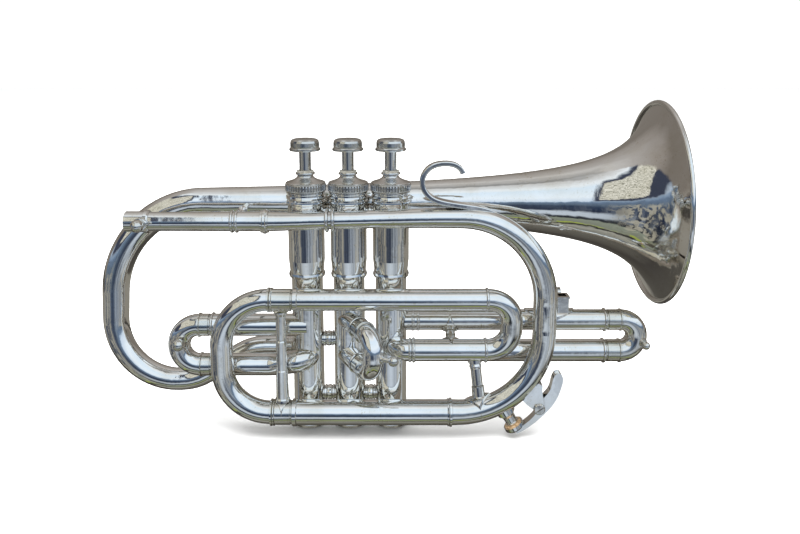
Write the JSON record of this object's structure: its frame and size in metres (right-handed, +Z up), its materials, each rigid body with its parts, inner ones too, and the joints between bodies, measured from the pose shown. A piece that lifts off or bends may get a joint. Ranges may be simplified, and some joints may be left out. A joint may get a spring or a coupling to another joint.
{
  "type": "cornet",
  "caption": "Compact valved brass horn with a coiled tube, flared bell, piston valves, tuning slides and a water key; a blown mouthpiece fits its receiver.",
  "frame": {"origin": "centre of the mouthpiece receiver's mouth", "axes": "+X from the mouthpiece to the bell, +Y to the player's left, +Z up along the valves"},
  "size_m": [0.3342, 0.1287, 0.1904],
  "materials": {
    "silver_plate": "silver-plated brass, polished, slightly worn",
    "bell_plate": "silver-plated brass, polished, lightly tarnished",
    "slide_metal": "nickel-silver, drawn and lapped",
    "fitting_metal": "silver-plated, turned",
    "piston_metal": "nickel-plated, lapped",
    "spring_steel": "drawn wire",
    "felt": "pressed wool felt, grey-white",
    "cork": "fine-grained cork",
    "button_metal": "silver-plated, worn by the fingers",
    "cap_metal": "silver-plated, turned, the top caps knurled"
  },
  "bodies": {
    "horn": {"bell": "bell_plate", "bell_braces": "silver_plate", "bell_tail_elbow": "silver_plate", "bottom_caps": "cap_metal", "casing_spacers": "silver_plate", "finger_hook": "silver_plate", "first_slide_tubes": "silver_plate", "leadpipe": "silver_plate", "leadpipe_saddles": "silver_plate", "lyre_holder": "silver_plate", "main_crook": "silver_plate", "main_slide_tubes": "silver_plate", "mouthpiece_receiver": "silver_plate", "return_bow": "silver_plate", "return_elbow": "silver_plate", "return_tube": "silver_plate", "return_tube_braces": "silver_plate", "second_slide_tubes": "silver_plate", "third_slide_tubes": "silver_plate", "top_caps": "cap_metal", "tube_ferrules": "silver_plate", "valve_casing_1": "silver_plate", "valve_casing_2": "silver_plate", "valve_casing_3": "silver_plate", "valve_crossovers": "silver_plate", "valve_felts": "felt", "valve_guides": "silver_plate", "valve_spring_1": "spring_steel", "valve_spring_2": "spring_steel", "valve_spring_3": "spring_steel", "water_key_pivot": "fitting_metal", "water_key_saddle": "silver_plate"},
    "valve_1": {"piston_1": "piston_metal", "valve_stem_1": "silver_plate", "finger_button_1": "button_metal"},
    "valve_2": {"piston_2": "piston_metal", "valve_stem_2": "silver_plate", "finger_button_2": "button_metal"},
    "valve_3": {"piston_3": "piston_metal", "valve_stem_3": "silver_plate", "finger_button_3": "button_metal"},
    "tuning_slide": {"tuning_slide_bow": "silver_plate", "tuning_slide_legs": "slide_metal", "tuning_slide_brace": "silver_plate"},
    "first_slide": {"first_slide_bow": "silver_plate", "first_slide_legs": "slide_metal", "first_slide_knob": "fitting_metal"},
    "second_slide": {"second_slide_bow": "silver_plate", "second_slide_legs": "slide_metal", "second_slide_knob": "fitting_metal"},
    "third_slide": {"third_slide_bow": "silver_plate", "third_slide_legs": "slide_metal", "third_slide_knob": "fitting_metal"},
    "water_key": {"water_key_lever": "silver_plate", "water_key_cork": "cork"},
    "receiver_screw": {"receiver_screw": "fitting_metal"},
    "lyre_screw": {"lyre_screw": "fitting_metal"}
  },
  "joints": [
    {"name": "valve_1_press", "type": "slide", "parent": "horn", "child": "valve_1", "axis": [0, 0, 1], "range_m": [-0.015, 0], "stiffness_N_per_m": 110, "springref_m": 0.02, "deforming": ["valve_spring_1"]},
    {"name": "valve_2_press", "type": "slide", "parent": "horn", "child": "valve_2", "axis": [0, 0, 1], "range_m": [-0.015, 0], "stiffness_N_per_m": 110, "springref_m": 0.02, "deforming": ["valve_spring_2"]},
    {"name": "valve_3_press", "type": "slide", "parent": "horn", "child": "valve_3", "axis": [0, 0, 1], "range_m": [-0.015, 0], "stiffness_N_per_m": 110, "springref_m": 0.02, "deforming": ["valve_spring_3"]},
    {"name": "tuning_slide_pull", "type": "slide", "parent": "horn", "child": "tuning_slide", "axis": [-1, 0, 0], "range_m": [0, 0.016]},
    {"name": "first_slide_pull", "type": "slide", "parent": "horn", "child": "first_slide", "axis": [-1, 0, 0], "range_m": [0, 0.02]},
    {"name": "second_slide_pull", "type": "slide", "parent": "horn", "child": "second_slide", "axis": [0.4571, -0.8894, 0], "range_m": [0, 0.007]},
    {"name": "third_slide_pull", "type": "slide", "parent": "horn", "child": "third_slide", "axis": [1, 0, 0], "range_m": [0, 0.03]},
    {"name": "water_key_lift", "type": "hinge", "parent": "horn", "child": "water_key", "pos_m": [0.22917, 0, -0.10736], "axis": [0, -1, 0], "range_deg": [0, 10], "stiffness_Nm_per_rad": 0.05, "springref_deg": -28.65},
    {"name": "receiver_screw_turn", "type": "hinge", "parent": "horn", "child": "receiver_screw", "pos_m": [0.0102, 0, 0], "axis": [0, -1, 0], "range_deg": [0, 720]},
    {"name": "lyre_screw_turn", "type": "hinge", "parent": "horn", "child": "lyre_screw", "pos_m": [0.245, 0.0186, -0.051], "axis": [0, 1, 0], "range_deg": [0, 720]}
  ]
}
